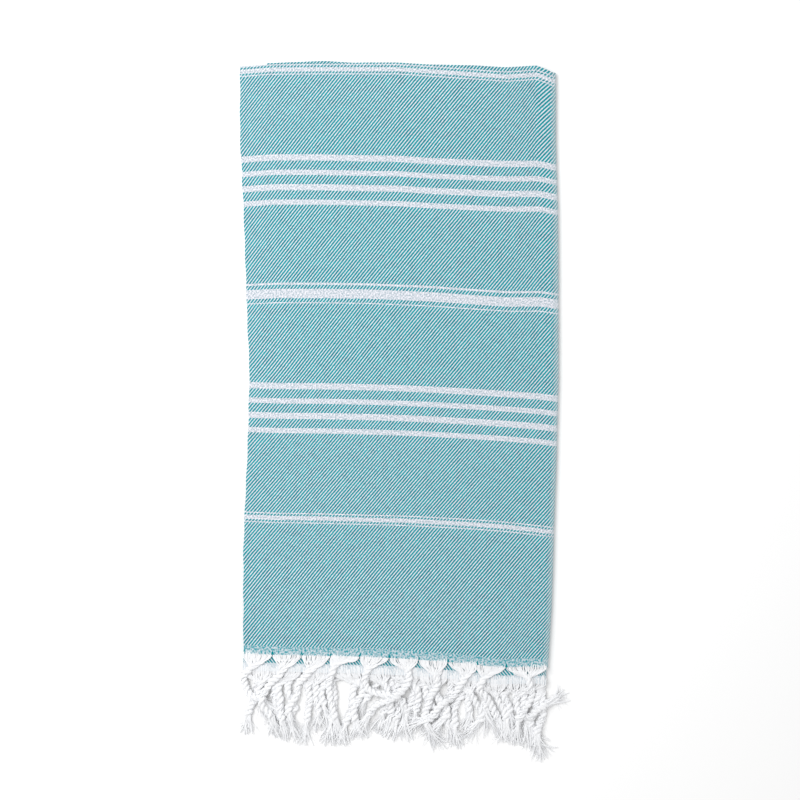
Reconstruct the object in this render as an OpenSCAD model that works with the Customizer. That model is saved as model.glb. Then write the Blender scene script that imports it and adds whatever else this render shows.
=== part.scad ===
// Flat-woven cotton bath towel with a knotted fringe, folded in four and lying flat.
// The cross fold comes first and puts both fringed hems together at the bottom. The book fold
// comes second, along the right-hand edge, and joins the front leaf to the back leaf.
// X runs across the folded towel, Y runs up to the cross fold and Z is up. The origin is the
// centre of the folded cloth on the surface that it rests on.

/* [Cloth] */
// Flat width of the cloth, selvedge to selvedge
cloth_w = 930; // [775:5:1120]
// Length of the outer end, from the cross fold to its hem
outer_len = 900; // [750:5:1080]
// How far the inner end's hem hangs below the outer end's hem
inner_drop = 26; // [0:1:32]
// Thickness of the cloth
cloth_t = 1.4; // [0.8:0.1:1.8]
// Height of the plain-woven heading along each hem
heading_h = 13; // [8:1:30]

/* [Folding] */
// Distance from the middle of one layer of cloth to the middle of the next
layer_pitch = 3.4; // [2.6:0.1:4.4]
// How far the book fold lies from the middle of the cloth, which makes the front leaf wider
fold_offset = 23; // [5:1:30]
// Gap between the front leaf and the back leaf where they meet on the book fold
leaf_gap = 0.3; // [0.2:0.05:0.6]

/* [Fringe] */
// Length of the shortest tassel, from the hem to the end of its tuft
tassel_len = 110; // [95:1:160]
// Width of a twisted cord
cord_w = 6.4; // [4:0.1:7.7]
// Length of the fan in which the warp threads run together into a cord
fan_len = 25; // [18:1:32]
// Width left between two neighbouring fans
fan_gap = 10; // [6:1:16]
// Width of the knot that ends the twist
knot_w = 9; // [7:0.2:10]
// Width of the frayed tuft at its end
tuft_w = 10; // [7:0.2:12]
// Length of the frayed tuft
tuft_len = 18; // [10:1:26]

/* [Hidden] */
// Tassels on one layer of one leaf, so each end of the cloth carries twice as many
PER_LAYER = 10;
// Layers of cloth from the top of the pile to the bottom
LAYERS = ["front_outer", "front_inner", "back_inner", "back_outer"];
// What each tassel in a row has beyond the shortest length, in order along the hem
EXTRA_LEN = [32, 10, 48, 21, 39, 3, 52, 28, 15, 42];

stack_h = 3 * layer_pitch + cloth_t;
mid_z = stack_h / 2;
leaf_h = mid_z - leaf_gap / 2;
outer_r = 1.5 * layer_pitch;
inner_r = 0.5 * layer_pitch;
fold_arc = PI * outer_r;
front_flat_w = cloth_w / 2 + fold_offset - fold_arc / 2;
back_flat_w = cloth_w - front_flat_w - fold_arc;
folded_w = front_flat_w + stack_h / 2;
left_x = -folded_w / 2;
fold_x = left_x + front_flat_w;
hem_y = -outer_len / 2;
nose_r = (layer_pitch + cloth_t) / 2;
nose_y = outer_len / 2 - nose_r;

tassel_pitch = cloth_w / (2 * PER_LAYER);
fan_w = tassel_pitch - fan_gap;
fan_t = cloth_t - 0.2;
cord_clear = 0.1;
cord_h = leaf_h - 2 * cord_clear;
drop_len = 20;
knot_len = 12;
// How far above the end of the inner fan an outer cord may leave its layer of cloth
fan_lead = 0.56 * fan_len;
wave_len = 74;
wave_amp = 0.08 * tassel_pitch;
reach = wave_amp + max(cord_w, knot_w, tuft_w) / 2;
open_clear = 2;
// Tassels left of lean_x lean to the left, by this share of their distance from it at the far
// end of the longest one. The lean follows the distance below the outer hem, so that the tassels
// of the two layers lean together
lean = 0.08;
longest = tassel_len + max(EXTRA_LEN) + inner_drop;
lean_x = folded_w / 2 - 2 * tassel_pitch;
SIDES = 8;

function tassel_name(layer, i) = str("tassel_", layer, i < 9 ? "_0" : "_", i + 1);
function is_front(l) = l < 2;
function is_outer(l) = l == 0 || l == 3;
function up(l) = is_front(l) ? 1 : -1;
function layer_r(l) = is_outer(l) ? outer_r : inner_r;
function drop(l) = is_outer(l) ? 0 : inner_drop;
function layer_hem_y(l) = hem_y - drop(l);
// How far a cord runs on past its fan before it leaves its layer of cloth
function hold(l) = is_outer(l) ? max(0, inner_drop - fan_lead) : 0;
function smooth(t) = t <= 0 ? 0 : t >= 1 ? 1 : t * t * (3 - 2 * t);

// Distance from the book fold to a tassel of the back leaf, along the flat of the leaf
function back_pos(i) = tassel_pitch * (PER_LAYER + i + 0.5) - front_flat_w - fold_arc;
// The tassel on the fold itself has a narrower fan, which fills what its neighbour leaves free
fold_fan_w = min(fan_w, back_pos(1) - fan_w / 2 - fan_gap / 2);

function on_fold(l, i) = !is_front(l) && i == 0;
function fan_width(l, i) = on_fold(l, i) ? fold_fan_w : fan_w;
function spaced_x(l, i) = is_front(l) ? left_x + tassel_pitch * (i + 0.5) : fold_x - back_pos(i);
function root_x(l, i) = on_fold(l, i) ? fold_x - fold_fan_w / 2 : spaced_x(l, i);

// The cords of the two layers of a leaf lie side by side: each moves a quarter pitch its own way
function side_x(l, i) = spaced_x(l, i) + tassel_pitch / 4 * (is_outer(l) ? 1 : -1);
// The outermost tassel stays clear of the front leaf's last one when that leaf is opened flat
fold_cord_x = folded_w - side_x(0, PER_LAYER - 1) - 2 * reach - open_clear;
function cord_x(l, i) =
    on_fold(l, i) && is_outer(l) ? min(side_x(l, i), fold_cord_x) : side_x(l, i);
function length_of(l, i) = tassel_len + EXTRA_LEN[(i + 3 * l) % PER_LAYER];
function wave(l, i, d) =
    wave_amp * sin(97 * i + 61 * l + 360 * d / wave_len) * smooth((d - fan_len - hold(l)) / drop_len);
function tassel_x(l, i, d) =
    let (gathered = smooth(d / (fan_len + hold(l) + drop_len / 2)))
    root_x(l, i) + (cord_x(l, i) - root_x(l, i)) * gathered + wave(l, i, d)
    + lean * min(0, spaced_x(l, i) - lean_x) * (pow(d + drop(l), 2) - pow(drop(l), 2)) / pow(longest, 2);

// One ring of a tassel: distance from the hem, half width, half height, and how far it has
// left the layer of cloth (0) for the middle of its leaf (1)
function stations(l, i) =
    let (
        full = length_of(l, i),
        out = fan_len + hold(l),
        start = out + drop_len,
        knot = full - tuft_len - knot_len
    )
    concat(
        [
            [0, fan_width(l, i) / 2, fan_t / 2, 0],
            [out / 2, fan_width(l, i) * 0.28, fan_t * 0.55, 0.05],
            [out, cord_w * 0.7, fan_t, 0.3]
        ],
        [for (k = [0:4]) [start + (knot - start) * k / 4, cord_w / 2, cord_h / 2, 1]],
        [
            [knot + knot_len / 2, knot_w / 2, cord_h / 2, 1],
            [full - tuft_len, cord_w * 0.36, cord_h * 0.36, 1],
            [full, tuft_w / 2, cord_h / 2, 1]
        ]
    );

// An eight-sided ring whose flats lie at the stated half width and half height
function ring(l, i, s) =
    let (
        layer_z = up(l) * layer_r(l),
        leaf_z = up(l) * (leaf_gap + leaf_h) / 2,
        z = mid_z + layer_z + (leaf_z - layer_z) * s[3],
        grow = 1 / cos(180 / SIDES)
    )
    [for (k = [0:SIDES - 1])
        let (angle = (k + 0.5) * 360 / SIDES)
        [
            tassel_x(l, i, s[0]) + grow * s[1] * cos(angle),
            layer_hem_y(l) - s[0],
            z + grow * s[2] * sin(angle)
        ]];

module tassel(l, i) {
    rings = [for (s = stations(l, i)) ring(l, i, s)];
    last = len(rings) - 1;
    color("whitesmoke")
        polyhedron(
            points = [for (r = rings) each r],
            faces = concat(
                [[for (k = [0:SIDES - 1]) SIDES - 1 - k]],
                [for (j = [0:last - 1]) for (k = [0:SIDES - 1])
                    let (a = j * SIDES, b = a + SIDES, n = (k + 1) % SIDES)
                    each [[a + k, a + n, b + n], [a + k, b + n, b + k]]],
                [[for (k = [0:SIDES - 1]) last * SIDES + k]]
            )
        );
}

// Carries a profile (distance from the middle of the pile, place along Y) across the flat of a
// leaf and round its half of the book fold, down to the gap between the leaves
module across_leaf(flat_w) {
    difference() {
        union() {
            rotate([0, -90, 0]) linear_extrude(flat_w) children();
            rotate(a = -120, v = [1, 1, 1]) rotate_extrude(angle = 90, $fn = 64) children();
        }
        translate([-1, -outer_len, -1]) cube([stack_h, 2 * outer_len, 1 + leaf_gap / 2]);
    }
}

module place_leaf(l) {
    flat_w = is_front(l) ? front_flat_w : back_flat_w;
    translate([fold_x, 0, mid_z])
        mirror([0, 0, is_front(l) ? 0 : 1])
            across_leaf(flat_w) children();
}

// Both layers of a leaf, joined by the cross fold at the top
module leaf_cloth(l) {
    color("cadetblue")
        place_leaf(l) {
            for (layer = [0, 1]) {
                y = layer_hem_y(layer) + heading_h;
                translate([layer_r(layer) - cloth_t / 2, y]) square([cloth_t, nose_y - y]);
            }
            translate([layer_pitch, nose_y])
                intersection() {
                    difference() {
                        circle(r = nose_r, $fn = 48);
                        circle(r = nose_r - cloth_t, $fn = 48);
                    }
                    translate([-nose_r, 0]) square(2 * nose_r);
                }
        }
}

module heading(l) {
    color("powderblue")
        place_leaf(l)
            translate([layer_r(l) - cloth_t / 2, layer_hem_y(l)]) square([cloth_t, heading_h]);
}

leaf_cloth(0);  // front_cloth
leaf_cloth(3);  // back_cloth
for (l = [0:3]) {
    heading(l);
    for (i = [0:PER_LAYER - 1]) {
        tassel(l, i);
    }
}
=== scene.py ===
"""A flat-woven cotton bath towel with a knotted fringe, folded in four and lying on a pale floor."""

import logging
import math
from dataclasses import dataclass
from enum import Enum

import bmesh
import bpy
import numpy as np
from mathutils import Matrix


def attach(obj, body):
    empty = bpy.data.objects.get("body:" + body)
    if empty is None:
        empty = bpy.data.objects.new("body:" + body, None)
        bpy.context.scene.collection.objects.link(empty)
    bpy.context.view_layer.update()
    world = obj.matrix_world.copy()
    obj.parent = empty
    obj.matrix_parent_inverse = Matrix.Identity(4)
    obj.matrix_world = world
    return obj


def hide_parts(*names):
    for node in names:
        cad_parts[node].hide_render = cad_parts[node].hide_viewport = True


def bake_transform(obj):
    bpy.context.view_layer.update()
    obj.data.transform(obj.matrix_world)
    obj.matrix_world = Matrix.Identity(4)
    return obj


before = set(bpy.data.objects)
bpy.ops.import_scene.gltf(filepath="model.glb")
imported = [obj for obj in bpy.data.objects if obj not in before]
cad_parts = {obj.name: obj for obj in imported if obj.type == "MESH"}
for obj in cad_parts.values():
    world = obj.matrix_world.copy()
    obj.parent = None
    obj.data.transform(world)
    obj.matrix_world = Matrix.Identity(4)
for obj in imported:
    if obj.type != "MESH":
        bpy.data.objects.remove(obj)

LOG = logging.getLogger("towel")
MM = 0.001
Rows = tuple[tuple[float, ...], ...]
Colour = tuple[float, float, float, float]
Thread = tuple[np.ndarray, np.ndarray]


class Leaf(Enum):
    """The two leaves that the book fold joins, by their CAD bodies."""

    FRONT = "front_leaf"
    BACK = "back_leaf"


class Layer(Enum):
    """The four layers of cloth, from the top of the pile to the bottom."""

    FRONT_OUTER = "front_outer"
    FRONT_INNER = "front_inner"
    BACK_INNER = "back_inner"
    BACK_OUTER = "back_outer"

    @property
    def leaf(self) -> Leaf:
        """The leaf that this layer belongs to."""
        return Leaf.FRONT if self.value.startswith("front") else Leaf.BACK

    @property
    def outer(self) -> bool:
        """Whether this is the outer layer of its leaf."""
        return self.value.endswith("outer")


def smooth(t: np.ndarray | float) -> np.ndarray:
    """Smooth step from 0 at t = 0 to 1 at t = 1."""
    t = np.clip(t, 0.0, 1.0)
    return t * t * (3 - 2 * t)


# --------------------------------------------------------------------------- materials


class Graph:
    """A small helper that builds a node tree by calls instead of by sockets."""

    def __init__(self, name: str) -> None:
        """Makes an empty material with an output node.

        Args:
            name: the material's name.
        """
        self.material = bpy.data.materials.new(name)
        self.material.use_nodes = True
        self.tree = self.material.node_tree
        self.tree.nodes.clear()

    def node(self, kind: str, inputs: dict | None = None, **settings: object) -> bpy.types.Node:
        """Adds a node.

        Args:
            kind: the node's type name without its ShaderNode prefix.
            inputs: socket name or number to a constant or an output socket.
            settings: properties of the node.

        Returns:
            The new node.
        """
        made = self.tree.nodes.new("ShaderNode" + kind)
        for key, value in settings.items():
            setattr(made, key, value)
        for key, value in (inputs or {}).items():
            socket = made.inputs[key]
            if isinstance(value, bpy.types.NodeSocket):
                self.tree.links.new(value, socket)
            else:
                socket.default_value = value
        return made

    def math(self, operation: str, *values: object) -> bpy.types.NodeSocket:
        """A Math node's result, from constants or sockets."""
        return self.node("Math", dict(enumerate(values)), operation=operation).outputs[0]

    def clamp(self, value: object) -> bpy.types.NodeSocket:
        """A value kept between 0 and 1."""
        return self.math("MINIMUM", self.math("MAXIMUM", value, 0.0), 1.0)

    def noise(self, scale: float, detail: float, place: object) -> bpy.types.NodeSocket:
        """The value of a flat noise at a place."""
        inputs = {"Scale": scale, "Detail": detail, "Vector": place}
        return self.node("TexNoise", inputs, noise_dimensions="2D").outputs[0]

    def mix(self, share: object, a: object, b: object, blend: str = "MIX") -> bpy.types.NodeSocket:
        """A colour mix of a and b."""
        made = self.node("Mix", data_type="RGBA", blend_type=blend)
        for index, value in ((0, share), (6, a), (7, b)):
            if isinstance(value, bpy.types.NodeSocket):
                self.tree.links.new(value, made.inputs[index])
            else:
                made.inputs[index].default_value = value
        return made.outputs[2]


@dataclass(frozen=True)
class WeaveFinish:
    """Cotton twill of white warp and teal weft, with white stripes and plain headings, a painted highlight
    along the book fold and painted shade between the threads.
    """

    # Spacing of the threads in mm, threads in one repeat of the twill, and how the warp shows in it
    warp_pitch: float = 1.28
    weft_pitch: float = 1.56
    repeat: int = 4
    contrast: float = 0.74
    unevenness: float = 0.7
    warp_share: float = 0.15

    white: Colour = (0.82, 0.82, 0.87, 1.0)
    teal: Colour = (0.0, 0.225, 0.285, 1.0)
    faded_teal: Colour = (0.0, 0.375, 0.425, 1.0)
    stripe: Colour = (0.86, 0.86, 0.92, 1.0)
    stripe_shade: Colour = (0.44, 0.53, 0.59, 1.0)
    deep_teal: Colour = (0.0, 0.26, 0.31, 1.0)
    heading: Colour = (0.02, 0.34, 0.41, 1.0)
    pale_heading: Colour = (0.66, 0.73, 0.78, 1.0)
    crest_highlight: Colour = (0.70, 0.80, 0.83, 1.0)

    # The painted highlight along the book fold, a paler wash that stands in for light on the rolled crest:
    # how strong, and where it starts and ends, in mm from the crest
    crest_highlight_strength: float = 0.4
    crest_highlight_core: float = 3.0
    crest_highlight_reach: float = 12.0
    # The teal notch between two tassels: how far up the heading it reaches in mm, and how wide it opens
    notch_height: float = 6.5
    notch_slope: float = 0.45
    # Centre and half width of every white stripe, in mm from the nearer hem
    stripes: Rows = (
        (198.9, 1.0), (205.9, 3.0), (212.9, 1.0),
        (339.5, 4.3), (362.0, 4.3), (384.4, 4.3), (406.9, 4.3),
        (534.2, 1.3), (548.2, 6.6), (562.7, 1.3),
        (687.5, 4.3), (709.9, 4.3), (732.3, 4.3), (754.7, 4.3),
        (881.0, 1.0), (888.0, 3.0), (895.0, 1.0),
    )

    def build(
        self, name: str, total: float, heading: float, bundle: float, fold_u: float
    ) -> bpy.types.Material:
        """Makes the material, which reads the cloth's own UV in metres of flat cloth.

        Args:
            name: the material's name.
            total: length of the flat cloth from hem to hem, in mm.
            heading: height of the plain heading along each hem, in mm.
            bundle: width of cloth whose warp ends run into one tassel, in mm.
            fold_u: where the crest of the book fold lies across the cloth, in mm, along which a highlight is
                painted.

        Returns:
            The material.
        """
        g = Graph(name)
        uv = g.node("UVMap", uv_map="flat").outputs[0]
        split = g.node("SeparateXYZ", {0: uv})
        across = g.math("MULTIPLY", split.outputs[0], 1000.0)
        along = g.math("MULTIPLY", split.outputs[1], 1000.0)
        warp = g.math("DIVIDE", across, self.warp_pitch)
        weft = g.math("DIVIDE", along, self.weft_pitch)
        grain = g.noise(420.0, 1.0, uv)
        twill = self.twill(g, warp, weft, grain)
        in_stripe = self.in_stripe(g, weft, total)
        edge = g.math("MINIMUM", along, g.math("SUBTRACT", total, along))

        speck = g.clamp(g.math("MULTIPLY_ADD", grain, 3.4, -1.15))
        striped = g.mix(speck, self.stripe_shade, self.stripe)
        colour = g.mix(in_stripe, g.mix(twill, self.dyed(g, uv), self.white), striped)
        far_end = g.math("GREATER_THAN", along, total / 2)
        plain = self.plain(g, uv, edge, far_end, heading)
        colour = g.mix(g.math("LESS_THAN", edge, heading), colour, plain)
        colour = g.mix(self.notch(g, across, edge, far_end, bundle), colour, self.deep_teal)

        # Painted highlight: the colour pales towards the crest of the book fold, as if light caught the
        # rolled edge
        from_crest = g.math("ABSOLUTE", g.math("SUBTRACT", across, fold_u))
        painted_crest_highlight = {0: from_crest, 1: self.crest_highlight_core, 2: self.crest_highlight_reach, 3: self.crest_highlight_strength, 4: 0.0}
        colour = g.mix(g.node("MapRange", painted_crest_highlight).outputs[0], colour, self.crest_highlight)

        height = self.relief(g, warp, weft, twill)
        # Painted shade: the colour darkens where the thread relief is low, at the edges of each thread and
        # between threads, standing in for self-shadow in the weave
        painted_thread_shade = g.math("MULTIPLY_ADD", height, 0.26, 0.80)
        thread_shade_tint = g.node("CombineColor", {0: painted_thread_shade, 1: painted_thread_shade, 2: painted_thread_shade}).outputs[0]
        colour = g.mix(1.0, colour, thread_shade_tint, "MULTIPLY")
        fuzzy = g.math("ADD", height, g.math("MULTIPLY", g.noise(2600.0, 3.0, uv), 0.35))
        bump = g.node("Bump", {"Strength": 0.8, "Distance": 0.0005, "Height": fuzzy})
        shader = g.node(
            "BsdfPrincipled",
            {
                "Base Color": colour,
                "Roughness": 0.92,
                "Specular IOR Level": 0.12,
                "Sheen Weight": 0.35,
                "Sheen Roughness": 0.3,
                "Normal": bump.outputs[0],
            },
        )
        g.node("OutputMaterial", {0: shader.outputs[0]})
        return g.material

    def twill(self, g: Graph, warp: object, weft: object, grain: object) -> bpy.types.NodeSocket:
        """How much the warp lies on top: it floats over half of each repeat, one thread later each time."""
        turn = g.math("MULTIPLY", g.math("SUBTRACT", warp, weft), 2 * math.pi / self.repeat)
        lit = g.math("MULTIPLY_ADD", grain, self.unevenness, self.warp_share - self.unevenness / 2)
        return g.clamp(g.math("MULTIPLY_ADD", g.math("COSINE", turn), self.contrast, lit))

    def in_stripe(self, g: Graph, weft: object, total: float) -> bpy.types.NodeSocket:
        """Whether a weft thread belongs to a white stripe, whole threads at a time."""
        row = g.math("MULTIPLY", g.math("ADD", g.math("FLOOR", weft), 0.5), self.weft_pitch)
        near = g.math("MINIMUM", row, g.math("SUBTRACT", total, row))
        found: object = 0.0
        for centre, half in self.stripes:
            found = g.math("MAXIMUM", found, g.math("COMPARE", near, centre, half))
        return found

    def dyed(self, g: Graph, uv: object) -> bpy.types.NodeSocket:
        """The weft's colour: clouds of stronger and weaker dye, and slubs that run along the threads."""
        stretched = g.node("Mapping", {0: uv, "Scale": (55.0, 520.0, 1.0)}).outputs[0]
        cloud = g.math("MULTIPLY_ADD", g.noise(95.0, 3.0, uv), 1.5, -0.9)
        shade = g.math("MULTIPLY_ADD", g.noise(1.0, 2.0, stretched), 1.3, cloud)
        return g.mix(g.clamp(shade), self.teal, self.faded_teal)

    def plain(
        self, g: Graph, uv: object, edge: object, far_end: object, heading: float
    ) -> bpy.types.NodeSocket:
        """The heading's colour: a mottle of both yarns that whitens towards its hem, more at the far end."""
        drop = g.math("SUBTRACT", 1.0, g.math("DIVIDE", edge, heading))
        mottle = g.math("MULTIPLY_ADD", g.noise(330.0, 2.0, uv), 3.0, -1.05)
        white = g.math("MULTIPLY_ADD", drop, 0.20, g.math("MULTIPLY", far_end, 0.9))
        return g.mix(g.clamp(g.math("ADD", mottle, white)), self.heading, self.pale_heading)

    def notch(
        self, g: Graph, across: object, edge: object, far_end: object, bundle: float
    ) -> bpy.types.NodeSocket:
        """Where teal shows between two tassels of the near end."""
        place = g.math("FLOORED_MODULO", across, bundle)
        from_split = g.math("MINIMUM", place, g.math("SUBTRACT", bundle, place))
        reach = g.math("MULTIPLY", g.math("SUBTRACT", self.notch_height, edge), self.notch_slope)
        return g.math("MULTIPLY", g.math("LESS_THAN", from_split, reach), g.math("SUBTRACT", 1.0, far_end))

    @staticmethod
    def relief(g: Graph, warp: object, weft: object, twill: object) -> bpy.types.NodeSocket:
        """Height of the round threads: the one on top is high along its middle, the other one low."""

        def ridge(thread: object) -> bpy.types.NodeSocket:
            """A rounded ridge over each thread."""
            wave = g.math("SINE", g.math("MULTIPLY", g.math("FRACT", thread), math.pi))
            return g.math("POWER", wave, 0.6)

        low_weft = g.math("MULTIPLY", ridge(weft), 0.35)
        high_warp = g.math("MULTIPLY_ADD", ridge(warp), 0.6, 0.5)
        return g.node("Mix", {0: twill, 2: low_weft, 3: high_warp}, data_type="FLOAT").outputs[0]


@dataclass(frozen=True)
class CottonFinish:
    """Undyed, softly fuzzy cotton yarn."""

    pale: Colour = (0.93, 0.93, 0.94, 1.0)
    grey: Colour = (0.82, 0.84, 0.87, 1.0)

    def build(self, name: str) -> bpy.types.Material:
        """Makes the material, which reads object coordinates.

        Args:
            name: the material's name.

        Returns:
            The material.
        """
        g = Graph(name)
        place = g.node("TexCoord").outputs["Object"]
        patch = g.node("TexNoise", {"Scale": 260.0, "Detail": 3.0, "Vector": place})
        fibre = g.node("TexNoise", {"Scale": 2400.0, "Detail": 3.0, "Roughness": 0.65, "Vector": place})
        colour = g.mix(g.math("MULTIPLY", patch.outputs[0], 0.7), self.pale, self.grey)
        bump = g.node("Bump", {"Strength": 0.5, "Distance": 0.0004, "Height": fibre.outputs[0]})
        shader = g.node(
            "BsdfPrincipled",
            {
                "Base Color": colour,
                "Roughness": 0.95,
                "Specular IOR Level": 0.08,
                "Sheen Weight": 0.1,
                "Subsurface Weight": 0.25,
                "Subsurface Radius": (0.003, 0.003, 0.003),
                "Normal": bump.outputs[0],
            },
        )
        g.node("OutputMaterial", {0: shader.outputs[0]})
        return g.material


# --------------------------------------------------------------------------- cloth


@dataclass(frozen=True)
class FoldedSheet:
    """One sheet of cloth, crossed by the cross fold at the top and the book fold at the right.

    A place on it is (u, v): u runs across the flat cloth from its left selvedge and v runs along it
    from the outer hem, both in mm.
    """

    width: float = 930.0
    front_w: float = 479.99
    fold_arc: float = 16.02
    left_x: float = -242.894
    fold_x: float = 237.094
    mid_z: float = 5.8
    hem_y: float = -450.0
    inner_drop: float = 26.0
    nose_y: float = 447.6
    heading: float = 13.0
    thickness: float = 1.0
    outer_r: float = 5.25
    inner_r: float = 2.55
    roll_back: float = 8.0
    outer_reach: float = 13.0
    inner_reach: float = 10.5
    bundle: float = 46.5

    # How far the cloth lies from its square place along Y: rows down the cloth, columns across it
    across: tuple[float, ...] = (0.0, 0.1, 0.25, 0.4, 0.5, 0.6, 0.75, 0.85, 0.95, 1.0)
    down: tuple[float, ...] = (-450.0, -241.0, -41.0, 100.0, 305.0, 442.0)
    sag: Rows = (
        (5.5, 4.0, 2.0, 1.0, -1.0, -4.0, -9.5, -15.5, -14.0, -16.0),
        (7.5, 5.5, 4.5, 2.5, 1.5, -0.5, -4.5, -8.0, -13.0, -16.0),
        (5.5, 4.0, 3.5, 2.0, 0.5, -1.5, -5.5, -8.5, -12.0, -15.0),
        (1.0, 3.0, 3.0, 2.0, 0.0, -2.0, -7.0, -10.0, -9.5, -13.0),
        (-1.0, 2.5, 2.5, 1.0, 0.5, -3.0, -6.0, -7.5, -7.0, -12.0),
        (-0.5, 3.0, 3.5, 3.5, 3.5, 0.5, -4.5, -8.0, -4.5, -14.0),
    )
    # The part of the top row that slides through the cross fold instead of moving the fold itself
    slide: tuple[float, ...] = (3.0, 3.5, 2.5, 1.0, 1.0, 1.0, -2.5, -3.0, -2.5, -2.0)
    back_across: tuple[float, ...] = (0.0, 0.05, 0.15, 0.3, 0.5, 0.65, 0.8, 1.0)
    back_top: tuple[float, ...] = (-12.0, -3.0, -3.0, -1.0, 2.0, 3.5, 7.5, 4.0)
    back_slide: float = -14.0
    edge_down: tuple[float, ...] = (-450.0, -365.0, -300.0, -240.0, -140.0, -20.0, 60.0, 140.0, 240.0, 340.0)
    left_in: tuple[float, ...] = (7.0, 7.0, 7.0, 9.0, 13.5, 16.5, 13.0, 10.5, 7.0, 2.0)
    right_in: tuple[float, ...] = (16.0, 10.7, 8.4, 6.9, 3.2, 0.0, 0.0, 0.0, 0.8, 4.0)

    @property
    def nose_r(self) -> float:
        """Radius of the cross fold's centre line."""
        return (self.outer_r - self.inner_r) / 2

    @property
    def outer_end(self) -> float:
        """The v at which the outer layer turns into the cross fold."""
        return self.nose_y - self.hem_y

    @property
    def inner_start(self) -> float:
        """The v at which the cross fold ends and the inner layer starts."""
        return self.outer_end + math.pi * self.nose_r

    @property
    def length(self) -> float:
        """Length of the flat cloth from hem to hem."""
        return self.inner_start + self.nose_y - self.hem_y + self.inner_drop

    @property
    def fold_u(self) -> float:
        """The u of the middle of the book fold."""
        return self.front_w + self.fold_arc / 2

    def section(self, u: np.ndarray, reach: float, radius: float) -> tuple[np.ndarray, np.ndarray]:
        """Place of one layer in the plane across the book fold.

        Args:
            u: places across the flat cloth.
            reach: how far the roll of the fold reaches beyond where it starts.
            radius: distance of the layer from the middle of the pile.

        Returns:
            X and Z, in mm.
        """
        half = self.fold_arc / 2 + self.roll_back
        centre = self.fold_x - self.roll_back
        angle = np.linspace(math.pi / 2, -math.pi / 2, 181)
        px, pz = reach * np.cos(angle), radius * np.sin(angle)
        length = np.concatenate([[0], np.cumsum(np.hypot(np.diff(px), np.diff(pz)))])
        share = (u - (self.fold_u - half)) / (2 * half)
        at = np.clip(share, 0, 1) * length[-1]
        x = centre + np.interp(at, length, px)
        z = self.mid_z + np.interp(at, length, pz)
        x = np.where(share < 0, self.left_x + u, x)
        x = np.where(share > 1, centre - (u - self.fold_u - half), x)
        return x, z

    def shift(self, u: np.ndarray, y: np.ndarray) -> tuple[np.ndarray, np.ndarray, np.ndarray]:
        """How the lying cloth departs from its square place.

        Args:
            u: places across the flat cloth.
            y: places along Y, square.

        Returns:
            The move along X, the move along Y, and how far the pattern slides along v on the mesh.
        """
        share = np.clip(u / self.front_w, 0, 1)
        row = np.clip(y, self.down[0], self.down[-1])
        columns = np.array([np.interp(share.ravel(), self.across, r) for r in self.sag])
        place = np.interp(row.ravel(), self.down, np.arange(len(self.down)))
        low = np.minimum(place.astype(int), len(self.down) - 2)
        part = smooth(place - low)
        pick = np.arange(place.size)
        sag = (columns[low, pick] * (1 - part) + columns[low + 1, pick] * part).reshape(u.shape)
        high = smooth((y + 250.0) / 700.0)
        slide = np.interp(share, self.across, self.slide) * high

        back = np.clip((u - self.front_w - self.fold_arc) / (self.width - self.front_w - self.fold_arc), 0, 1)
        top = np.interp(back, self.back_across, self.back_top)
        plain = sag - slide
        lifted = top * high + (plain * (1 - np.sqrt(back)) + 3.0 * np.sqrt(back)) * (1 - high)
        is_back = smooth((u - self.fold_u) / 60.0)
        move_y = plain * (1 - is_back) + lifted * is_back
        slide = slide * (1 - is_back) + self.back_slide * smooth(back / 0.7) * high * is_back

        left = np.interp(y, self.edge_down, self.left_in)
        right = np.interp(y, self.edge_down, self.right_in)
        move_x = left * (1 - share) - right * share
        return move_x, move_y, slide

    def swell(self, u: np.ndarray, y: np.ndarray, layer_share: np.ndarray) -> np.ndarray:
        """Gentle hollows and swells, upwards on the front leaf and downwards on the back leaf."""
        x = np.where(u < self.fold_u, u, 2 * self.fold_u - u)
        wave = (
            np.sin(x / 71.0 + y / 190.0 + 0.6) + np.sin(x / 37.0 - y / 83.0 + 2.1) * 0.55
            + np.sin(y / 61.0 + x / 230.0) * 0.35
        )
        from_fold = np.abs(u - self.fold_u)
        calm = smooth((from_fold - 16.0) / 60.0) * smooth(x / 30.0)
        size = np.where(u < self.fold_u, 1.15, -0.25)
        return size * calm * (0.5 + wave / 3.8) * (1 - 0.5 * layer_share)

    def place(self, u: np.ndarray, v: np.ndarray) -> tuple[np.ndarray, np.ndarray]:
        """Where places on the flat cloth lie, and what the pattern shows there.

        Args:
            u: places across the flat cloth, in mm.
            v: places along it, in mm.

        Returns:
            Points in metres (..., 3), and pattern coordinates in metres (..., 2).
        """
        turn = np.clip((v - self.outer_end) / self.nose_r, 0, math.pi)
        share = (1 - np.cos(turn)) / 2
        y = np.where(v < self.outer_end, self.hem_y + v, self.nose_y + self.nose_r * np.sin(turn))
        y = np.where(v > self.inner_start, self.nose_y - (v - self.inner_start), y)
        outer_x, outer_z = self.section(u, self.outer_reach, self.outer_r)
        inner_x, inner_z = self.section(u, self.inner_reach, self.inner_r)
        x = outer_x * (1 - share) + inner_x * share
        z = outer_z * (1 - share) + inner_z * share + self.swell(u, y, share)
        move_x, move_y, slide = self.shift(u, y)
        frayed = 0.5 * np.sin(y / 9.0) * np.exp(-u / 6.0)
        point = np.stack([x + move_x + frayed, y + move_y, z], axis=-1) * MM
        return point, np.stack([u, v - slide], axis=-1) * MM

    def columns(self) -> np.ndarray:
        """Lines of the mesh across the cloth, closer together in the book fold."""
        half = self.fold_arc / 2 + self.roll_back
        roll = np.linspace(self.fold_u - half, self.fold_u + half, 33)
        front = np.linspace(0, roll[0], 56)[:-1]
        back = np.linspace(roll[-1], self.width, 46)[1:]
        return np.concatenate([front, roll, back])

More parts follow.
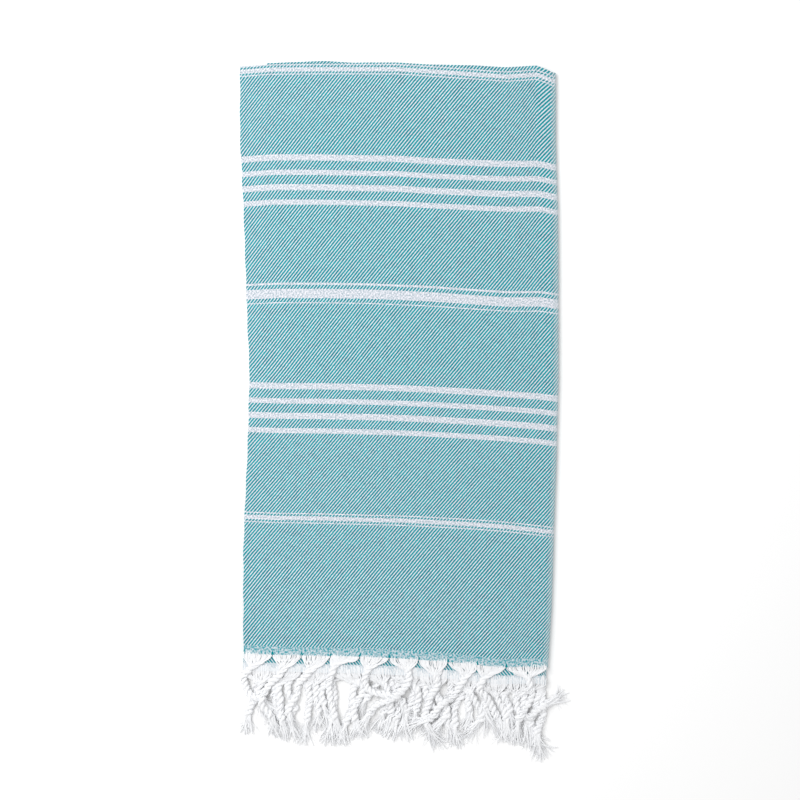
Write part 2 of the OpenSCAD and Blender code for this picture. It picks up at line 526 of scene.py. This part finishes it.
    def rows(self, start: float, end: float) -> np.ndarray:
        """Lines of the mesh along the cloth between two v, closer together in the cross fold."""
        nose = np.linspace(self.outer_end, self.inner_start, 9)
        beside = np.array([6.0, 14.0])
        near = np.concatenate([self.outer_end - beside, self.inner_start + beside])
        outer = np.linspace(self.heading, self.outer_end - 24, 76)
        inner = np.linspace(self.inner_start + 24, self.length - self.heading, 78)
        ends = np.array([0, 5, 10, self.length - 10, self.length - 5, self.length])
        lines = np.unique(np.concatenate([nose, near, outer, inner, ends]).round(4))
        inside = lines[(lines > start + 0.01) & (lines < end - 0.01)]
        return np.concatenate([[start], inside, [end]])

    def strip(self, name: str, start: float, end: float) -> bpy.types.Object:
        """Builds the cloth between two v, as a closed thin mesh.

        Args:
            name: the piece's name.
            start: where the strip starts along the cloth, in mm.
            end: where it ends.

        Returns:
            The mesh object, with its flat coordinates in the UV map "flat".
        """
        u, v = np.meshgrid(self.columns(), self.rows(start, end))
        points, pattern = self.place(u, v)
        rows, columns = u.shape
        mesh = bpy.data.meshes.new(name)
        bm = bmesh.new()
        bmesh.ops.create_grid(bm, x_segments=columns - 1, y_segments=rows - 1, size=1.0)
        flat = bm.loops.layers.uv.new("flat")
        where = {}
        for vert in bm.verts:
            column = round((vert.co.x + 1) / 2 * (columns - 1))
            row = round((vert.co.y + 1) / 2 * (rows - 1))
            where[vert] = (row, column)
            vert.co = points[row, column]
        for face in bm.faces:
            face.smooth = True
            for loop in face.loops:
                loop[flat].uv = pattern[where[loop.vert]]
        bm.to_mesh(mesh)
        bm.free()
        obj = bpy.data.objects.new(name, mesh)
        bpy.context.collection.objects.link(obj)
        solid = obj.modifiers.new("thickness", "SOLIDIFY")
        solid.thickness = self.thickness * MM
        solid.offset = 0.0
        solid.use_even_offset = False
        made = applied(obj)
        made.data.set_sharp_from_angle(angle=math.radians(50))
        return made


def applied(obj: bpy.types.Object) -> bpy.types.Object:
    """Replaces an object's data with its evaluated mesh, so that nothing is left to compute."""
    graph = bpy.context.evaluated_depsgraph_get()
    mesh = bpy.data.meshes.new_from_object(obj.evaluated_get(graph))
    name = obj.name
    made = bpy.data.objects.new(name + "_made", mesh)
    bpy.context.collection.objects.link(made)
    bpy.data.objects.remove(obj, do_unlink=True)
    made.name = name
    mesh.name = name
    return made


# --------------------------------------------------------------------------- fringe


class Pile:
    """A height map on which the cords of the fringe are laid one after another."""

    TOUCH = 3.6  # how far from its middle a cord rests on what is below, in mm
    PRINT = 3.4  # how far from its middle a cord raises the pile, in mm
    DROP = 0.12  # how fast a round cord falls away from its middle, per mm
    PASSES = 60  # rounds of smoothing that stiffen a cord over its supports

    def __init__(self, low: tuple[float, float], high: tuple[float, float], step: float = 1.5) -> None:
        """Makes an empty floor.

        Args:
            low: lowest X and Y, in mm.
            high: highest X and Y.
            step: size of a cell.
        """
        self.low = np.array(low)
        self.step = step
        count = np.ceil((np.array(high) - self.low) / step).astype(int) + 1
        self.top = np.zeros(count)
        self.xs = self.low[0] + step * np.arange(count[0])
        self.ys = self.low[1] + step * np.arange(count[1])

    def window(self, x: float, y: float, reach: float) -> tuple[slice, slice, np.ndarray]:
        """The cells within reach of a point, and their distances from it."""
        i = np.searchsorted(self.xs, [x - reach, x + reach])
        j = np.searchsorted(self.ys, [y - reach, y + reach])
        si, sj = slice(i[0], i[1]), slice(j[0], j[1])
        return si, sj, np.hypot(self.xs[si, None] - x, self.ys[None, sj] - y)

    def cover(self, points: np.ndarray, above: float) -> None:
        """Lays cloth on the pile.

        Args:
            points: places on the middle of the cloth, closer together than the cells, in mm.
            above: half the thickness of the cloth.
        """
        i = np.round((points[:, 0] - self.low[0]) / self.step).astype(int)
        j = np.round((points[:, 1] - self.low[1]) / self.step).astype(int)
        inside = (i >= 0) & (j >= 0) & (i < self.top.shape[0]) & (j < self.top.shape[1])
        np.maximum.at(self.top, (i[inside], j[inside]), points[inside, 2] + above)

    def lay(self, xy: np.ndarray, start_z: float, half: np.ndarray, squeeze: float) -> np.ndarray:
        """Lays a cord over what is there, and adds it to the pile.

        Args:
            xy: places along the cord, in mm.
            start_z: height at which it leaves the cloth.
            half: half thickness at each place.
            squeeze: share of its thickness that a cord keeps where others press on it.

        Returns:
            The height of the cord's middle at each place.
        """
        need = np.empty(len(xy))
        for k, (x, y) in enumerate(xy):
            si, sj, far = self.window(x, y, self.TOUCH)
            under = np.where(far < self.TOUCH, self.top[si, sj] - far * far * self.DROP, 0.0)
            need[k] = (under.max() if under.size else 0.0) + half[k]
        z = need.copy()
        z[0] = start_z
        ease = smooth(np.arange(len(xy)) / 9.0)
        for _ in range(self.PASSES):
            z[1:-1] = np.maximum(need[1:-1], z[1:-1] * 0.4 + (z[:-2] + z[2:]) * 0.3)
            z[-1] = need[-1]
        z = start_z * (1 - ease) + z * ease
        for k, (x, y) in enumerate(xy):
            si, sj, far = self.window(x, y, self.PRINT)
            rise = z[k] + half[k] * squeeze * (1 - (far / self.PRINT) ** 2) - half[k] * (1 - squeeze)
            here = self.top[si, sj]
            self.top[si, sj] = np.where(far < self.PRINT, np.maximum(here, rise), here)
        return z


@dataclass(frozen=True)
class Yarn:
    """Sizes of the yarn in a tassel, in mm."""

    ply_offset: float = 2.75
    strand_offset: float = 1.95
    strand_r: float = 1.45
    strands: int = 6
    turn: float = 17.0
    strand_turn: float = -30.0
    flat: float = 0.48
    fan: float = 33.0
    fan_threads: int = 36
    knot: float = 12.0
    step: float = 2.0
    squeeze: float = 0.70
    tuft: tuple[float, float] = (28.0, 46.0)
    tuft_fibres: int = 44
    strays: int = 60


@dataclass(frozen=True)
class Course:
    """A cord's middle line in mm, with its directions at every place on it."""

    line: np.ndarray
    tangent: np.ndarray
    side: np.ndarray
    up: np.ndarray

    @classmethod
    def along(cls, line: np.ndarray) -> "Course":
        """Works out the directions along a line (n, 3)."""
        tangent = np.gradient(line, axis=0)
        tangent /= np.linalg.norm(tangent, axis=1, keepdims=True)
        side = np.column_stack([-tangent[:, 1], tangent[:, 0], np.zeros(len(line))])
        side /= np.linalg.norm(side, axis=1, keepdims=True)
        up = np.cross(tangent, side)
        up[:, 2] = np.abs(up[:, 2])
        return cls(line, tangent, side, up)


@dataclass(frozen=True)
class Route:
    """How one tassel lies: waypoints from its root as (across, down) in mm, and its whole length."""

    steps: Rows
    length: float


def hand_routes() -> dict[tuple[Layer, int], Route]:
    """Tassels of the top layers whose way shows, as (across, down) from the root of each."""
    outer = (
        ((-7, 18), (-22, 34), (-19, 55), (2, 68), (12, 84), (6, 108)),
        ((-6, 20), (-20, 40), (-38, 58), (-34, 80), (-22, 106), (-19, 134)),
        ((-9, 20), (-24, 41), (-36, 67), (-42, 96), (-36, 130)),
        ((-17, 14), (-24, 42), (-24, 70), (-15, 95), (-9, 124), (-14, 150)),
        ((-8, 14), (-16, 34), (-8, 50), (9, 56), (27, 60), (42, 69), (46, 93), (41, 122)),
        ((6, 18), (7, 36), (-8, 52), (-26, 62), (-44, 76), (-60, 94), (-63, 120)),
        ((4, 22), (6, 42), (-8, 61), (-13, 83), (-2, 107), (4, 133)),
        ((6, 14), (-3, 34), (-15, 50), (-33, 66), (-48, 81), (-67, 93), (-80, 116)),
        ((-10, 15), (-18, 33), (-6, 53), (6, 70), (12, 91), (6, 122)),
        ((12, 20), (17, 42), (8, 63), (-3, 84), (4, 112)),
    )
    wisp = ((-7, 20), (-3, 42), (14, 50), (30, 38), (44, 28), (60, 24))
    lengths = (142, 150, 150, 156, 152, 156, 150, 156, 140, 136)
    made = {(Layer.FRONT_OUTER, i): Route(s, lengths[i]) for i, s in enumerate(outer)}
    made[Layer.FRONT_INNER, 9] = Route(wisp, 136)
    return made


class Fringe:
    """Forty tassels, ten on each layer of cloth, laid over one another from the bottom up."""

    PER_LAYER = 10
    EXTRA = (32, 10, 48, 21, 39, 3, 52, 28, 15, 42)
    TRIES = 50  # ways tried for each hidden tassel
    WIDE = 5.5  # half width that a tassel is counted as covering, in mm
    GAP = (-84.0, -500.0, 9.0, 27.0)  # the gap kept open: its middle and its half sizes, in mm

    def __init__(self, sheet: FoldedSheet, yarn: Yarn, finish: bpy.types.Material) -> None:
        """Keeps what every tassel needs.

        Args:
            sheet: the cloth whose warp the tassels are.
            yarn: sizes of the yarn.
            finish: the yarn's material.
        """
        self.sheet, self.yarn, self.finish = sheet, yarn, finish
        self.pile = Pile((-330.0, -680.0), (330.0, -430.0))
        self.by_hand = hand_routes()
        self.lines = self.arrange()

    def arrange(self) -> dict[tuple[Layer, int], np.ndarray]:
        """Chooses how every tassel lies: the seen ones as listed, the others where they fill gaps.

        Returns:
            The centre line of every tassel from above, in mm.
        """
        full = np.zeros(self.pile.top.shape, bool)
        across, along = np.meshgrid(self.pile.xs, self.pile.ys, indexing="ij")
        x, y, half_x, half_y = self.GAP
        open_gap = ((across - x) / half_x) ** 2 + ((along - y) / half_y) ** 2 < 1
        wanted = (np.abs(across) < 238) & (along > -585)
        worth = np.where(open_gap, -4.0, np.where(wanted, 1.0, 0.05))
        rng = np.random.default_rng(11)
        keys = [(layer, i) for layer in Layer for i in range(self.PER_LAYER)]
        lines = {}
        for key in sorted(keys, key=lambda k: k not in self.by_hand):
            root = self.root(*key)[0]
            best = -1e9
            for _ in range(1 if key in self.by_hand else self.TRIES):
                line = self.way(*key, root, rng)
                mark = np.zeros_like(full)
                for x, y in line[8::2]:
                    si, sj, far = self.pile.window(x, y, self.WIDE)
                    mark[si, sj] |= far < self.WIDE
                score = (worth * (mark & ~full)).sum()
                if score > best:
                    best, lines[key], chosen = score, line, mark
            full |= chosen
        return lines

    def root(self, layer: Layer, i: int) -> tuple[np.ndarray, float, float]:
        """Where a tassel leaves the hem.

        Returns:
            The point in mm, and how far its fan reaches to its left and its right.
        """
        s, half = self.sheet, self.sheet.bundle / 2
        front = layer.leaf is Leaf.FRONT
        u = s.bundle * ((0 if front else self.PER_LAYER) + i + 0.5)
        left = right = half - 2.2
        if front and i == self.PER_LAYER - 1:
            right = s.front_w - u
        if not front and i == 0:
            u = s.fold_u + 5.0 + (s.bundle * (self.PER_LAYER + 1) - s.fold_u - 5.0) / 2
            left = right = (s.bundle * (self.PER_LAYER + 1) - s.fold_u - 5.0) / 2 - 0.6
        v = 0.0 if layer.outer else s.length
        point, _ = s.place(np.array([u]), np.array([v]))
        return point[0] / MM, left, right

    def hem_band(self, layer: Layer) -> np.ndarray:
        """Places all over the last 60 mm of one layer of cloth, in mm (n, 3)."""
        s = self.sheet
        ends = (0.0, s.fold_u) if layer.leaf is Leaf.FRONT else (s.fold_u, s.width)
        rows = (0.0, 60.0) if layer.outer else (s.length - 60.0, s.length)
        u, v = np.meshgrid(np.arange(*ends, 1.0), np.arange(rows[0], rows[1] + 0.1, 1.0))
        points, _ = s.place(u, v)
        return points.reshape(-1, 3) / MM

    def way(self, layer: Layer, i: int, root: np.ndarray, rng: np.random.Generator) -> np.ndarray:
        """The tassel's centre line seen from above, at even steps.

        Returns:
            Points (n, 2) in mm.
        """
        route = self.by_hand.get((layer, i))
        if route is None:
            order = list(Layer).index(layer)
            length = (112 if layer.outer else 94) + 0.6 * self.EXTRA[(i + 3 * order) % self.PER_LAYER]
            side = 1 if layer.outer else -1
            drift = np.cumsum(rng.normal(0, 11.0, 5)) + side * rng.uniform(-4.0, 16.0)
            drift = np.clip(drift, -34, 34)
            if i == 0:
                drift = np.minimum(drift, 4.0)
            steps = tuple((float(a), 24.0 + 28.0 * k) for k, a in enumerate(drift))
        else:
            steps, length = route.steps, route.length
        points = np.array([(0.0, 0.0), (steps[0][0] * 0.25, min(8.0, steps[0][1] * 0.4)), *steps])
        last = points[-1] - points[-2]
        points = np.vstack([points, points[-1] + last / np.linalg.norm(last) * length])
        xy = spline(points, 1.0)
        far = np.concatenate([[0], np.cumsum(np.hypot(*np.diff(xy, axis=0).T))])
        run = np.gradient(xy, axis=0)
        run /= np.linalg.norm(run, axis=1, keepdims=True)
        wave = np.sin(far / rng.uniform(6.5, 10.5) + rng.uniform(0, 6)) * rng.uniform(1.0, 2.6)
        wave *= smooth((far - 26.0) / 20.0)
        xy = xy + np.column_stack([-run[:, 1], run[:, 0]]) * wave[:, None]
        far = np.concatenate([[0], np.cumsum(np.hypot(*np.diff(xy, axis=0).T))])
        at = np.arange(0.0, length + 0.1, self.yarn.step)
        line = np.stack([np.interp(at, far, xy[:, 0]), -np.interp(at, far, xy[:, 1])], axis=1)
        return line + root[:2]

    def tassel(self, layer: Layer, i: int) -> bpy.types.Object:
        """Builds one tassel as a mesh piece that rides on its leaf.

        Args:
            layer: the layer of cloth that it hangs from.
            i: its place along the hem.

        Returns:
            The piece.
        """
        order = list(Layer).index(layer)
        rng = np.random.default_rng(1000 * order + i + 7)
        y = self.yarn
        root, left, right = self.root(layer, i)
        xy = self.lines[layer, i]
        d = np.arange(len(xy)) * y.step
        half = 0.8 + 2.6 * smooth((d - 8.0) / 28.0)
        z = self.pile.lay(xy, root[2], half, y.squeeze)
        course = Course.along(np.column_stack([xy, z]))

        tuft = rng.uniform(*y.tuft)
        end = int((d[-1] - tuft) / y.step)
        knot = end - int((y.knot * 0.5 + 2) / y.step)
        size = 1 + 0.30 * np.exp(-(((np.arange(len(xy)) - knot) * y.step / 4.5) ** 2))
        size -= 0.28 * np.exp(-(((np.arange(len(xy)) - end) * y.step / 3.0) ** 2))
        size *= 1 + 0.06 * np.sin(d / 21.0 + rng.uniform(0, 6))
        threads = self.plied(course, layer, (left, right), size, end, tuft, rng)
        for _ in range(y.tuft_fibres):
            begin = course.line[end - 1] + course.side[end - 1] * rng.normal(0, 1.6)
            begin = begin + (0, 0, rng.normal(0, 0.8))
            tail, tail_r = self.frayed(begin, course.tangent[end - 1], tuft, rng, 1.35)
            threads.append((np.vstack([begin, tail]), 0.40 * np.concatenate([[1.0], tail_r])))
        threads.append(self.knot_wrap(course, knot))
        for _ in range(y.strays):
            threads.append(self.stray(course, rng, int(14 / y.step), end))

        name = f"fringe_{layer.value}_{i + 1:02d}"
        obj = tubes(name, threads, self.finish)
        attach(obj, layer.leaf.value)
        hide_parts(f"tassel_{layer.value}_{i + 1:02d}")
        return obj

    def plied(
        self,
        course: Course,
        layer: Layer,
        reach: tuple[float, float],
        size: np.ndarray,
        end: int,
        tuft: float,
        rng: np.random.Generator,
    ) -> list[Thread]:
        """The warp threads that gather from the hem and twist into a two-ply cord.

        Args:
            course: the cord's middle line.
            layer: the layer of cloth that it hangs from.
            reach: how far the fan reaches to the left and the right, in mm.
            size: thickness of the cord at each place, as a share of the usual one.
            end: the place at which the cord ends and its threads fray.
            tuft: length of the frayed ends, in mm.
            rng: the tassel's random numbers.

        Returns:
            Points and radii of each thread. Every third runs on into the tuft, the others end in the cord.
        """
        y = self.yarn
        d = np.arange(len(course.line)) * y.step
        fan = y.fan * rng.uniform(0.74, 1.0)
        gather = 0.5 * (1 + np.cos(np.pi * np.clip(d / fan, 0, 1)))
        twist = rng.uniform(0, 2 * math.pi) + 2 * math.pi * d / (y.turn * rng.uniform(0.9, 1.1))
        starts = np.linspace(-reach[0], reach[1], y.fan_threads) + rng.normal(0, 0.35, y.fan_threads)
        threads: list[Thread] = []
        for k, start in enumerate(starts):
            long = k % 3 == 1
            ply, strand = (k // 3) % 2, k // 6
            angle = twist + math.pi * ply
            inner = 2 * math.pi * (strand / y.strands + d / y.strand_turn) + k
            a = size * (y.ply_offset * np.cos(angle) + y.strand_offset * np.cos(inner + angle))
            b = size * (y.ply_offset * np.sin(angle) + y.strand_offset * np.sin(inner + angle))
            wander = rng.normal(0, 0.6) * np.sin(np.pi * np.clip(d / fan, 0, 1))
            a = a * (1 - gather) + wander
            path = course.line + course.side * a[:, None] + course.up * (b * y.flat * (1 - gather))[:, None]
            path[:, 0] += start * gather
            stop = end if long else int(rng.uniform(34, 50) / y.step)
            path = path[:stop]
            # A thread starts inside the cloth, some way up from the hem
            path[0] += (0.0, rng.uniform(0.5, 5.5), -0.35) if layer.outer else (0.0, rng.uniform(5, 13), 0.3)
            share = 0.52 + (0.48 if long else 0.1) * smooth(d[:stop] / 26.0)
            radius = y.strand_r * share * size[:stop] ** 0.5
            if long:
                tail, tail_r = self.frayed(path[-1], course.tangent[end - 1], tuft, rng, 1.0)
                path, radius = np.vstack([path, tail]), np.concatenate([radius, radius[-1] * tail_r])
            threads.append((path, radius))
        return threads

    @staticmethod
    def frayed(
        begin: np.ndarray, tangent: np.ndarray, length: float, rng: np.random.Generator, spread: float
    ) -> Thread:
        """One frayed end beyond the knot.

        Returns:
            Its points after the first, and its radius at each as a share of the yarn's.
        """
        out = rng.normal(0, 0.30 * spread)
        bend = rng.normal(0, 0.35 * spread)
        long = length * rng.uniform(0.55, 1.1)
        t = np.linspace(0.14, 1.0, 7)
        heading = math.atan2(tangent[1], tangent[0]) + out * smooth(t * 2) + bend * t * t
        step = long / 7
        xy = begin[:2] + np.cumsum(np.column_stack([np.cos(heading), np.sin(heading)]) * step, axis=0)
        floor = 0.9 + rng.uniform(0, 3.0)
        z = begin[2] + (floor - begin[2]) * smooth(t * 1.05)
        return np.column_stack([xy, z]), 1 - 0.45 * t

    @staticmethod
    def knot_wrap(course: Course, knot: int) -> Thread:
        """The turn of the knot that goes round the cord."""
        t = np.linspace(0, 1, 17)
        angle = 2 * math.pi * 1.35 * t
        path = (
            course.line[knot] + course.tangent[knot] * ((t - 0.5) * 4.5)[:, None]
            + course.side[knot] * (3.4 * np.cos(angle))[:, None]
            + course.up[knot] * (2.7 * np.sin(angle))[:, None]
        )
        path[:, 2] = np.maximum(path[:, 2], 1.4)
        return path, 1.25 * (0.7 + 0.3 * np.sin(np.pi * t))

    @staticmethod
    def stray(course: Course, rng: np.random.Generator, start: int, end: int) -> Thread:
        """A loose fibre that stands off the cord somewhere between two of its places."""
        line, side = course.line, course.side
        k = int(rng.integers(start, max(start + 1, end - 4)))
        hand = rng.choice([-1.0, 1.0])
        long = rng.uniform(6, 15)
        t = np.linspace(0, 1, 6)
        along = line[min(k + 4, len(line) - 1)] - line[k]
        along /= np.linalg.norm(along)
        off = 2.8 + rng.uniform(1, 3.8) * np.sin(t * rng.uniform(1.2, 2.8))
        path = line[k] + side[k] * hand * off[:, None] + along * (long * t)[:, None]
        path[:, 2] = np.maximum(path[:, 2] + rng.uniform(-1, 2.4), 0.4)
        return path, rng.uniform(0.14, 0.34) * np.array([1.0, 1.0, 1.0, 0.9, 0.75, 0.5])

    def build(self) -> list[bpy.types.Object]:
        """Builds every tassel, the lowest layer first.

        Returns:
            The pieces.
        """
        made = []
        for layer in reversed(Layer):
            self.pile.cover(self.hem_band(layer), self.sheet.thickness / 2)
            for i in range(self.PER_LAYER):
                made.append(self.tassel(layer, i))
        LOG.info("fringe: %d tassels, pile %.1f mm high", len(made), self.pile.top.max())
        return made


def spline(points: np.ndarray, step: float) -> np.ndarray:
    """A smooth line through the points, by centripetal Catmull-Rom pieces."""
    ends = np.vstack([2 * points[0] - points[1], points, 2 * points[-1] - points[-2]])
    out = []
    for a, b, c, e in zip(ends, ends[1:], ends[2:], ends[3:], strict=False):
        count = max(2, int(np.linalg.norm(c - b) / step))
        t = np.linspace(0, 1, count, endpoint=False)[:, None]
        out.append(
            0.5 * (2 * b + (c - a) * t + (2 * a - 5 * b + 4 * c - e) * t**2 + (3 * b - a - 3 * c + e) * t**3)
        )
    return np.vstack([*out, points[-1]])


def tubes(name: str, threads: list[Thread], finish: bpy.types.Material) -> bpy.types.Object:
    """Round threads along the given lines, as one mesh.

    Args:
        name: the piece's name.
        threads: points in mm and radii in mm of each thread.
        finish: its material.

    Returns:
        The mesh object.
    """
    curve = bpy.data.curves.new(name, "CURVE")
    curve.dimensions = "3D"
    curve.bevel_depth = 1.0
    curve.bevel_resolution = 1
    curve.use_fill_caps = True
    for path, radius in threads:
        path = np.column_stack([path[:, :2], np.maximum(path[:, 2], radius + 0.1)])
        line = curve.splines.new("POLY")
        line.points.add(len(path) - 1)
        line.points.foreach_set("co", np.column_stack([path * MM, np.ones(len(path))]).ravel())
        line.points.foreach_set("radius", (radius * MM).astype(float))
        line.use_smooth = True
    curve.materials.append(finish)
    obj = bpy.data.objects.new(name, curve)
    bpy.context.collection.objects.link(obj)
    return applied(obj)


# --------------------------------------------------------------------------- studio


@dataclass(frozen=True)
class Studio:
    """A pale floor under soft light, with the camera straight overhead."""

    eye: tuple[float, float, float] = (0.0015, -0.060, 1.70)
    view: float = math.radians(39.5)
    world: float = 0.70
    key: float = 35.0

    def build(self) -> None:
        """Makes the floor, the lights, the world and the camera."""
        scene = bpy.context.scene
        scene.view_settings.view_transform = "Standard"
        mesh = bpy.data.meshes.new("floor")
        bm = bmesh.new()
        bmesh.ops.create_grid(bm, x_segments=1, y_segments=1, size=4.0)
        bm.to_mesh(mesh)
        bm.free()
        floor = bpy.data.objects.new("floor", mesh)
        floor.location.z = -0.0003
        bpy.context.collection.objects.link(floor)
        g = Graph("studio_floor")
        shader = g.node("BsdfDiffuse", {"Color": (0.97, 0.97, 0.97, 1.0)})
        g.node("OutputMaterial", {0: shader.outputs[0]})
        mesh.materials.append(g.material)

        lamp = bpy.data.lights.new("key", "AREA")
        lamp.shape, lamp.size, lamp.size_y, lamp.energy = "RECTANGLE", 1.5, 1.5, self.key
        key = bpy.data.objects.new("key", lamp)
        key.location = (-1.1, 0.5, 1.9)
        key.rotation_euler = key.location.to_track_quat("Z", "Y").to_euler()
        bpy.context.collection.objects.link(key)

        world = bpy.data.worlds.new("studio")
        world.use_nodes = True
        back = world.node_tree.nodes["Background"]
        back.inputs["Color"].default_value = (1.0, 1.0, 1.0, 1.0)
        back.inputs["Strength"].default_value = self.world
        scene.world = world

        eye = bpy.data.cameras.new("overhead")
        eye.angle = self.view
        camera = bpy.data.objects.new("overhead", eye)
        camera.location = self.eye
        bpy.context.collection.objects.link(camera)
        scene.camera = camera


# --------------------------------------------------------------------------- the whole


def dress_cloth(sheet: FoldedSheet) -> tuple[bpy.types.Object, list[bpy.types.Object]]:
    """Builds the cloth and its two headings.

    Args:
        sheet: the folded cloth.

    Returns:
        The cloth, and the headings.
    """
    weave = WeaveFinish().build(
        "striped_twill", sheet.length, sheet.heading, sheet.bundle, sheet.fold_u
    )
    ends = {
        "towel_heading_outer": (0.0, sheet.heading, "plain_heading", "outer"),
        "towel_heading_inner": (sheet.length - sheet.heading, sheet.length, "plain_heading", "inner"),
        "towel_cloth": (sheet.heading, sheet.length - sheet.heading, "striped_twill", ""),
    }
    made = {}
    for name, (start, end, slot, which) in ends.items():
        piece = sheet.strip(name, start, end)
        piece.data.materials.clear()
        piece.data.materials.append(weave)
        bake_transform(piece)
        if which:
            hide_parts(f"heading_front_{which}", f"heading_back_{which}")
        else:
            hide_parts("front_cloth", "back_cloth")
        made[name] = piece
    cloth = made.pop("towel_cloth")
    return cloth, list(made.values())


def main() -> None:
    """Builds the towel and the studio."""
    logging.basicConfig(level=logging.INFO, format="%(name)s: %(message)s")
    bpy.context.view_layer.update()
    sheet = FoldedSheet()
    cloth, headings = dress_cloth(sheet)
    LOG.info("cloth: %.1f x %.1f mm flat", sheet.width, sheet.length)
    tassels = Fringe(sheet, Yarn(), CottonFinish().build("fringe_cotton")).build()
    Studio().build()


if __name__ == "__main__":
    main()
